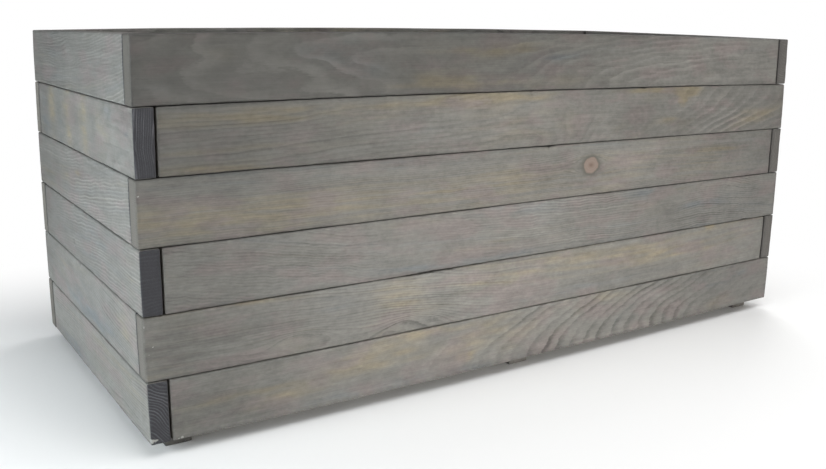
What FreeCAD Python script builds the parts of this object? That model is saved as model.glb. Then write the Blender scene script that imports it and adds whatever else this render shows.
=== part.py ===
"""Planter box: six courses of planed boards, lapped at the corners, on an inner frame of posts and rails.

Frame: origin on the ground under the middle of the box, +X along the long side, +Y towards the back, +Z up.
"""

import FreeCAD, Part
import Sketcher
import os

Vector = FreeCAD.Vector

DRIVING_DIMENSIONS = {
    "box_length": 1000,  # outside, along X
    "box_width": 450,  # outside, along Y
    "board_thickness": 22,
    "board_height": 68,
    "board_round": 2.5,  # easing on every edge of a board
    "course_gap": 0.5,  # between one course and the next
    "butt_gap": 2.0,  # between a board's end and the board that laps it
    "post_side": 30,
    "post_drop": 12,  # from the rim down to the top of a post
    "foot_height": 15,  # how far the posts stand out below the boards
    "batten_round": 1.5,  # easing on posts, rails and ledgers
    "rail_lift": 4,  # underside of rails and ledgers above the lowest edge of the boards
    "ledger_height": 28,
    "floor_thickness": 18,
    "floor_end_gap": 2,  # from the end of a floor board to the wall
    "ledger_end_gap": 0.5,
    "screw_diameter": 4,
    "screw_head": 8,
    "wall_screw_length": 45,
    "floor_screw_length": 35,
    "frame_screw_diameter": 5,
    "frame_screw_head": 10,
    "frame_screw_length": 75,
}
COURSES = 6
BAY_BOARDS = 6  # floor boards between two rails
SIDES = ("front", "back")
PLACES = ("left", "middle", "right")

doc = FreeCAD.newDocument("PlanterBox")
sheet = doc.addObject("Spreadsheet::Sheet", "Dimensions")
for row, (alias, value) in enumerate(DRIVING_DIMENSIONS.items(), 1):
    sheet.set(f"A{row}", alias)
    sheet.set(f"B{row}", str(value))
    sheet.setAlias(f"B{row}", alias)
doc.recompute()


def size(alias):
    """A driving dimension's value, read back from the sheet."""
    return float(sheet.get(alias))


def cell(text):
    """An expression in which each word that is a driving dimension points at its cell."""
    words = text.replace("(", " ( ").replace(")", " ) ").split()
    return " ".join(f"Dimensions.{w}" if w in DRIVING_DIMENSIONS else w for w in words)


def origin_plane(body, role):
    return next(f for f in body.Origin.OriginFeatures if f.Role == role)


def add_line(sketch, start, end):
    return sketch.addGeometry(Part.LineSegment(Vector(*start, 0), Vector(*end, 0)), False)


def rectangle_sketch(body, name, width, depth):
    """A rectangle from the body's origin into +X and +Y, its two sides bound to expressions."""
    sketch = body.newObject("Sketcher::SketchObject", name)
    sketch.AttachmentSupport = [(origin_plane(body, "XY_Plane"), "")]
    sketch.MapMode = "FlatFace"
    corners = [(0, 0), (10, 0), (10, 10), (0, 10)]
    for start, end in zip(corners, corners[1:] + corners[:1]):
        add_line(sketch, start, end)
    for line in range(4):
        sketch.addConstraint(Sketcher.Constraint("Coincident", line, 2, (line + 1) % 4, 1))
    for line in (0, 2):
        sketch.addConstraint(Sketcher.Constraint("Horizontal", line))
    for line in (1, 3):
        sketch.addConstraint(Sketcher.Constraint("Vertical", line))
    sketch.addConstraint(Sketcher.Constraint("Coincident", 0, 1, -1, 1))
    across = sketch.addConstraint(Sketcher.Constraint("DistanceX", 0, 1, 0, 2, 10))
    along = sketch.addConstraint(Sketcher.Constraint("DistanceY", 1, 1, 1, 2, 10))
    sketch.setExpression(f"Constraints[{across}]", cell(width))
    sketch.setExpression(f"Constraints[{along}]", cell(depth))
    return sketch


def timber(label, sides, corner, easing):
    """One length of wood as a body: a padded rectangle with every edge eased.

    sides are its X, Y and Z sizes and corner its lowest corner, all as expressions.
    """
    body = doc.addObject("PartDesign::Body", label + "_blank")
    body.Label = label + "_blank"
    sketch = rectangle_sketch(body, label + "_section", sides[0], sides[1])
    pad = body.newObject("PartDesign::Pad", label + "_pad")
    pad.Profile = sketch
    pad.setExpression("Length", cell(sides[2]))
    doc.recompute([pad], True)
    fillet = body.newObject("PartDesign::Fillet", label + "_easing")
    fillet.Base = (pad, [f"Edge{n}" for n in range(1, len(pad.Shape.Edges) + 1)])
    fillet.setExpression("Radius", cell(easing))
    body.Tip = fillet
    for axis, place in zip("xyz", corner):
        body.setExpression(f".Placement.Base.{axis}", cell(place))
    return body


# ---- wall boards ---------------------------------------------------------------------------------

HALF_LENGTH, HALF_WIDTH = "box_length / 2", "box_width / 2"
LAP = "( board_thickness + butt_gap )"  # what a board leaves free for the one that laps its end


def course_bottom(course):
    """Height of a course's lower edge, course 1 being the lowest."""
    return f"foot_height + {course - 1} * ( board_height + course_gap )"


def wall_board(side, course):
    """Each board laps its neighbour at one end and butts against the other at its other end.

    The laps run round the box one way in even courses and the other way in odd ones.
    """
    even = course % 2 == 0
    starts_at_corner = {"front": even, "left": not even, "back": not even, "right": even}[side]
    inset = "0" if starts_at_corner else LAP
    far = {"front": "0", "left": "0", "back": "box_width - board_thickness",
           "right": "box_length - board_thickness"}[side]
    bottom = course_bottom(course)
    if side in SIDES:
        sides = (f"box_length - {LAP}", "board_thickness", "board_height")
        corner = (f"{inset} - {HALF_LENGTH}", f"{far} - {HALF_WIDTH}", bottom)
    else:
        sides = ("board_thickness", f"box_width - {LAP}", "board_height")
        corner = (f"{far} - {HALF_LENGTH}", f"{inset} - {HALF_WIDTH}", bottom)
    return timber(f"{side}_board_{course}", sides, corner, "board_round")


# ---- inner frame: posts, cross rails and floor ledgers ---------------------------------------------

INNER_LENGTH = "( box_length / 2 - board_thickness )"
INNER_WIDTH = "( box_width / 2 - board_thickness )"
RAIL_HEIGHT = "( ledger_height + floor_thickness )"
RAIL_BOTTOM = "( foot_height + rail_lift )"
RIM = f"( foot_height + {COURSES} * board_height + {COURSES - 1} * course_gap )"
POST_LEFT = {
    "left": f"0 - {INNER_LENGTH}",
    "middle": "0 - post_side / 2",
    "right": f"{INNER_LENGTH} - post_side",
}


def post(side, place):
    y = f"0 - {INNER_WIDTH}" if side == "front" else f"{INNER_WIDTH} - post_side"
    sides = ("post_side", "post_side", f"{RIM} - post_drop")
    return timber(f"post_{side}_{place}", sides, (POST_LEFT[place], y, "0"), "batten_round")


def cross_rail(place):
    """Joins the front and back posts, with its top level with the floor."""
    sides = ("post_side", f"2 * ( {INNER_WIDTH} - post_side )", RAIL_HEIGHT)
    corner = (POST_LEFT[place], f"post_side - {INNER_WIDTH}", RAIL_BOTTOM)
    return timber(f"cross_rail_{place}", sides, corner, "batten_round")


BAY_LENGTH = f"( {INNER_LENGTH} - post_side * 3 / 2 )"  # clear of the posts at both ends
BAY_LEFT = {"left": f"( post_side - {INNER_LENGTH} )", "right": "( post_side / 2 )"}


def floor_ledger(side, bay):
    """Runs along the wall between two posts and carries the ends of the floor boards."""
    y = f"0 - {INNER_WIDTH}" if side == "front" else f"{INNER_WIDTH} - board_thickness"
    sides = (f"{BAY_LENGTH} - 2 * ledger_end_gap", "board_thickness", "ledger_height")
    corner = (f"{BAY_LEFT[bay]} + ledger_end_gap", y, RAIL_BOTTOM)
    return timber(f"floor_ledger_{side}_{bay}", sides, corner, "batten_round")


FLOOR_GAP = f"( ( {BAY_LENGTH} - {BAY_BOARDS} * board_height ) / {BAY_BOARDS + 1} )"


def floor_board_left(bay, index):
    return f"{BAY_LEFT[bay]} + {FLOOR_GAP} + {index} * ( board_height + {FLOOR_GAP} )"


def floor_board(bay, index):
    """Lies across the box on two ledgers, with a drainage gap on each side."""
    number = index + 1 + (BAY_BOARDS if bay == "right" else 0)
    sides = ("board_height", f"2 * ( {INNER_WIDTH} - floor_end_gap )", "floor_thickness")
    corner = (floor_board_left(bay, index), f"floor_end_gap - {INNER_WIDTH}", f"{RAIL_BOTTOM} + ledger_height")
    return timber(f"floor_board_{number:02d}", sides, corner, "batten_round")


# ---- screws --------------------------------------------------------------------------------------

TIP_SHARE = 1.4  # length of the pointed tip in shank diameters
HEAD_RIM_SHARE = 0.03  # straight rim above the countersink, of the head's diameter
RECESS_DEPTH_SHARE, RECESS_ARM_SHARE, RECESS_WIDTH_SHARE = 0.24, 0.56, 0.14  # of the head's diameter


def screw_body(label, diameter, head, length):
    """A countersunk wood screw, head upwards, the middle of its flat top at the body's origin."""
    body = doc.addObject("PartDesign::Body", label)
    sketch = body.newObject("Sketcher::SketchObject", label + "_profile")
    sketch.AttachmentSupport = [(origin_plane(body, "XZ_Plane"), "")]
    sketch.MapMode = "FlatFace"
    radius, head_radius = size(diameter) / 2, size(head) / 2
    cone = head_radius - radius  # a 90 degree countersink is as deep as it is wide
    rim = size(head) * HEAD_RIM_SHARE
    tip = size(diameter) * TIP_SHARE
    profile = [
        (0, 0), (head_radius, 0), (head_radius, -rim), (radius, -rim - cone),
        (radius, tip - size(length)), (0, -size(length)),
    ]
    lines = [add_line(sketch, a, b) for a, b in zip(profile, profile[1:] + profile[:1])]
    for line in lines:
        sketch.addConstraint(Sketcher.Constraint("Coincident", line, 2, (line + 1) % len(lines), 1))
    sketch.addConstraint(Sketcher.Constraint("Coincident", 0, 1, -1, 1))
    sketch.addConstraint(Sketcher.Constraint("Horizontal", 0))
    for line in (1, 3, 5):
        sketch.addConstraint(Sketcher.Constraint("Vertical", line))
    bound = {
        ("DistanceX", 0, 1, 0, 2): f"{head} / 2",
        ("DistanceX", 5, 1, 2, 2): f"{diameter} / 2",
        ("DistanceY", 1, 2, 1, 1): f"{head} * {HEAD_RIM_SHARE}",
        ("DistanceY", 2, 2, 2, 1): f"( {head} - {diameter} ) / 2",
        ("DistanceY", 5, 1, 3, 2): f"{diameter} * {TIP_SHARE}",
        ("DistanceY", 5, 1, 5, 2): length,
    }
    for (kind, *points), expression in bound.items():
        number = sketch.addConstraint(Sketcher.Constraint(kind, *points, 1.0))
        sketch.setExpression(f"Constraints[{number}]", cell(expression))
    turned = body.newObject("PartDesign::Revolution", label + "_turned")
    turned.Profile = sketch
    turned.ReferenceAxis = (sketch, ["V_Axis"])
    turned.Angle = 360
    doc.recompute([turned], True)
    envelope = turned.Shape.copy()

    recess = body.newObject("Sketcher::SketchObject", label + "_cross")
    recess.AttachmentSupport = [(origin_plane(body, "XY_Plane"), "")]
    recess.MapMode = "FlatFace"
    arm, half = size(head) * RECESS_ARM_SHARE / 2, size(head) * RECESS_WIDTH_SHARE / 2
    quarter = [(arm, -half), (arm, half), (half, half)]
    outline = []
    for turn in range(4):
        rotation = FreeCAD.Rotation(Vector(0, 0, 1), 90 * turn)
        outline += [tuple(rotation.multVec(Vector(*point, 0)))[:2] for point in quarter]
    for start, end in zip(outline, outline[1:] + outline[:1]):
        add_line(recess, start, end)
    pocket = body.newObject("PartDesign::Pocket", label + "_recess")
    pocket.Profile = recess
    pocket.setExpression("Length", cell(f"{head} * {RECESS_DEPTH_SHARE}"))
    body.Tip = pocket
    doc.recompute([body], True)
    if body.Shape.Volume >= envelope.Volume:
        raise RuntimeError(f"{label}: the cross recess cuts nothing")
    return body.Shape.copy(), envelope


def placement(head_centre, direction, spin):
    """Puts a screw's head at head_centre, its shank along direction, its cross turned by spin degrees."""
    turn = FreeCAD.Rotation(Vector(0, 0, -1), direction).multiply(FreeCAD.Rotation(Vector(0, 0, 1), spin))
    return FreeCAD.Placement(head_centre, turn)


SPIN_STEP = 37  # degrees from one screw's cross to the next, so that no two in a row line up
# Where screws go, as shares of the height or length of the piece they hold.
LONG_BOARD_SHARES, SHORT_BOARD_SHARES = (0.25, 0.65), (0.45,)
LOWEST_LONG_BOARD_SHARES = (0.84,)  # above the end of the rail
FRAME_SHARES = (0.22, 0.78)
LEDGER_SHARES = (0.1, 0.5, 0.9)
FLOOR_BOARD_SHARES = (0.25, 0.75)
half_length, half_width = size("box_length") / 2, size("box_width") / 2
thickness, side_of_post = size("board_thickness"), size("post_side")
inner_length, inner_width = half_length - thickness, half_width - thickness
post_middle_x = {
    "left": side_of_post / 2 - inner_length,
    "middle": 0.0,
    "right": inner_length - side_of_post / 2,
}
rail_bottom = size("foot_height") + size("rail_lift")
floor_top = rail_bottom + size("ledger_height") + size("floor_thickness")


def course_heights(shares, lowest_shares):
    """Heights of the screws in every course."""
    for course in range(COURSES):
        bottom = size("foot_height") + course * (size("board_height") + size("course_gap"))
        for share in shares if course else lowest_shares:
            yield bottom + share * size("board_height")


def wall_screw_sites():
    """From inside, through each post: two into each long board and one into each short board."""
    for outward in (-1, 1):
        for x in post_middle_x.values():
            for z in course_heights(LONG_BOARD_SHARES, LOWEST_LONG_BOARD_SHARES):
                yield Vector(x, outward * (inner_width - side_of_post), z), Vector(0, outward, 0)
    post_middle_y = inner_width - side_of_post / 2
    for outward in (-1, 1):
        for y in (-post_middle_y, post_middle_y):
            for z in course_heights(SHORT_BOARD_SHARES, SHORT_BOARD_SHARES):
                yield Vector(outward * (inner_length - side_of_post), y, z), Vector(outward, 0, 0)


def frame_screw_sites():
    """Through the outer face of each post into the end of its rail, one above the other."""
    rail_height = size("ledger_height") + size("floor_thickness")
    for x in post_middle_x.values():
        for outward in (-1, 1):
            for share in FRAME_SHARES:
                height = rail_bottom + share * rail_height
                yield Vector(x, outward * inner_width, height), Vector(0, -outward, 0)


def bay_left(bay):
    return side_of_post - inner_length if bay == "left" else side_of_post / 2


bay_length = inner_length - 1.5 * side_of_post


def ledger_screw_sites():
    """Through each ledger into the lowest board behind it."""
    for outward in (-1, 1):
        for bay in BAY_LEFT:
            for share in LEDGER_SHARES:
                x = bay_left(bay) + share * bay_length
                y = outward * (inner_width - thickness)
                yield Vector(x, y, rail_bottom + size("ledger_height") / 2), Vector(0, outward, 0)


def floor_screw_sites():
    """Two at each end of each floor board, down into the ledgers."""
    width = size("board_height")
    gap = (bay_length - BAY_BOARDS * width) / (BAY_BOARDS + 1)
    for bay in BAY_LEFT:
        for index in range(BAY_BOARDS):
            left = bay_left(bay) + gap + index * (width + gap)
            for share in FLOOR_BOARD_SHARES:
                for outward in (-1, 1):
                    y = outward * (inner_width - thickness / 2)
                    yield Vector(left + share * width, y, floor_top), Vector(0, 0, -1)


wall_screw = screw_body("wall_screw", "screw_diameter", "screw_head", "wall_screw_length")
floor_screw = screw_body("floor_screw", "screw_diameter", "screw_head", "floor_screw_length")
frame_screw = screw_body("frame_screw", "frame_screw_diameter", "frame_screw_head", "frame_screw_length")
SCREW_GROUPS = {
    "wall_screws": (wall_screw, wall_screw_sites),
    "frame_screws": (frame_screw, frame_screw_sites),
    "ledger_screws": (floor_screw, ledger_screw_sites),
    "floor_screws": (floor_screw, floor_screw_sites),
}
nodes = {}
bores = []  # the space each screw takes up in the wood
for label, ((screw, envelope), sites) in SCREW_GROUPS.items():
    placed = []
    for number, (head_centre, direction) in enumerate(sites()):
        at = placement(head_centre, direction, number * SPIN_STEP)
        for shape, group in ((screw, placed), (envelope, bores)):
            copy = shape.copy()
            copy.Placement = at.multiply(shape.Placement)
            group.append(copy)
    group = doc.addObject("Part::Feature", label)
    group.Shape = Part.makeCompound(placed)
    nodes[label] = group


# ---- every piece of wood, bored for its screws -------------------------------------------------------

LEAST_OVERLAP = 0.01  # mm3; a screw that takes up less of a piece only touches it


def bored(blank):
    """The blank with the space of every screw that enters it cut away."""
    label = blank.Label.removesuffix("_blank")
    hits = [bore for bore in bores if blank.Shape.BoundBox.intersect(bore.BoundBox)]
    hits = [bore for bore in hits if blank.Shape.common(bore).Volume > LEAST_OVERLAP]
    if not hits:
        return blank
    tool = doc.addObject("Part::Feature", label + "_bores")
    tool.Shape = Part.makeCompound(hits)
    piece = doc.addObject("Part::Cut", label)
    piece.Base, piece.Tool = blank, tool
    piece.Label = label
    return piece


blanks = [wall_board(side, course) for side in ("front", "back", "left", "right")
          for course in range(1, COURSES + 1)]
blanks += [post(side, place) for side in SIDES for place in PLACES]
blanks += [cross_rail(place) for place in PLACES]
blanks += [floor_ledger(side, bay) for side in SIDES for bay in BAY_LEFT]
blanks += [floor_board(bay, index) for bay in BAY_LEFT for index in range(BAY_BOARDS)]
doc.recompute()
for blank in blanks:
    nodes[blank.Label.removesuffix("_blank")] = bored(blank)
doc.recompute()

# ---- check and write ---------------------------------------------------------------------------------

for item in doc.Objects:
    if {"Invalid", "Error"} & set(item.State):
        raise RuntimeError(f"{item.Label} failed: {item.State}")
os.makedirs("parts", exist_ok=True)
for label, item in nodes.items():
    if item.Shape.isNull() or not item.Shape.isValid():
        raise RuntimeError(f"{label}: its shape is null or not valid")
    item.Shape.exportStep(os.path.join("parts", label + ".step"))
print(f"{len(nodes)} nodes written")
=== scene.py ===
"""Looks for the planter box: stained softwood boards on an inner frame, in a plain studio.

Lengths are in metres and in the row frame: origin on the ground under the middle of the box, +X along its
length, +Y towards the back, +Z up. The descriptions of the boards' grain are in millimetres.
"""

import math
import random

import bpy
import numpy as np
from mathutils import Matrix, Vector


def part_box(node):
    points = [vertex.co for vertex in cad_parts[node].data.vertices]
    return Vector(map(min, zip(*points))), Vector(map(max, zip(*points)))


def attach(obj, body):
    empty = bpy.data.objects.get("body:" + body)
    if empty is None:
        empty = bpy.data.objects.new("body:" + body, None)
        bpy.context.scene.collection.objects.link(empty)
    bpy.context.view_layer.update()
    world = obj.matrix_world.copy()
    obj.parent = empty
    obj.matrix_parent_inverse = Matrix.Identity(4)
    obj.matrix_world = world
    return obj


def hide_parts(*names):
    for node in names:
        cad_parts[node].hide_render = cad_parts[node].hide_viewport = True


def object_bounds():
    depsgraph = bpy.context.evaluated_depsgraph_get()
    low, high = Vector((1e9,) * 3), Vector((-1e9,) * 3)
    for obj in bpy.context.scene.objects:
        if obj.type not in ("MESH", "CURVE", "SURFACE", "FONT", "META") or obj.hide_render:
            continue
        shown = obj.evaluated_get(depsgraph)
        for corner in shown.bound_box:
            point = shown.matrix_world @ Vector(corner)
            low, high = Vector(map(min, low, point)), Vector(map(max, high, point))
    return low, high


MM = 0.001
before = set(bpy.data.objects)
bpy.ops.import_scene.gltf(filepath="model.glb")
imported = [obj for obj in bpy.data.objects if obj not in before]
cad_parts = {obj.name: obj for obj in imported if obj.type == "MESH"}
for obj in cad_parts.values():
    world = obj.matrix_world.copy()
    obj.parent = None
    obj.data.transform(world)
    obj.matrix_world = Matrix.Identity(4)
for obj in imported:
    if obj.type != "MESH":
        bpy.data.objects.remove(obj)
cad_bounds = [list(corner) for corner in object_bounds()]
SIDES = ("front", "back", "left", "right")
COURSES = range(1, 7)  # 1 is the lowest
X, Y, Z = range(3)

# ---- smooth curves and fields ----------------------------------------------------------------------


def curve(points, at):
    """A smooth curve through (place, value) points, read at an array of places, level beyond its ends."""
    places, values = (np.array(column, float) for column in zip(*points))
    if len(places) == 1:
        return np.full_like(at, values[0])
    slopes = np.gradient(values, places)
    left = np.clip(np.searchsorted(places, at) - 1, 0, len(places) - 2)
    span = places[left + 1] - places[left]
    t = np.clip((at - places[left]) / span, 0, 1)
    start = (1 + 2 * t) * (1 - t) ** 2 * values[left] + t * (1 - t) ** 2 * span * slopes[left]
    end = t * t * (3 - 2 * t) * values[left + 1] + t * t * (t - 1) * span * slopes[left + 1]
    return start + end


def wander(points, wavelengths, seed, waves=7):
    """A smooth random field between about -1 and 1, with its own wavelength along each axis."""
    draw = np.random.default_rng(seed)
    total = np.zeros(len(points))
    for _ in range(waves):
        direction = draw.normal(size=3)
        step = 2 * math.pi * draw.uniform(0.6, 1.5) * direction / np.linalg.norm(direction)
        total += np.sin(points @ (step / np.array(wavelengths)) + draw.uniform(0, 2 * math.pi))
    return total / math.sqrt(waves)


def blob(points, centre, reach):
    """1 at the centre, falling smoothly to 0 over the reach along each axis."""
    away = (((points - np.array(centre)) / np.array(reach)) ** 2).sum(1)
    return np.exp(-away)


# ---- grain of the boards ---------------------------------------------------------------------------
# The wall boards that stand out are described here, and the others are drawn from their seeds. Places are
# millimetres along the board from the box's left or front end, and heights are from the board's lower edge.
#   pith       the heart of the tree: (place, height, depth behind the outer face). Where it runs at a slant
#              to the face, the rings show as nested arches.
#   ring       width of a yearly ring
#   figure     how strongly the rings show: (place, strength). They are dark lines on lighter wood above 0,
#              and light lines on darker wood below 0.
#   tone       lightness: (place, factor). Besides the stain's own lightness, the curves of the described
#              boards hold painted light and shade: darker towards the near corner and on the top course of
#                  the front.
#   warmth     tan above 0 and blue-grey below
#   patches    uneven stain: (place, height, length, half height, warmth, tone), added to the two above
#   knots      (place, height, radius, kind). A hidden knot only bends the rings.
#   nicks      dents: (place, height, length, half height, depth)
#   chips      spots where the stain has come off: (place, height, radius)
#   sway       strength of the rings' long waves, and ripple that of their short ones
#   end_rings  how strongly the rings show on the sawn ends

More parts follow.
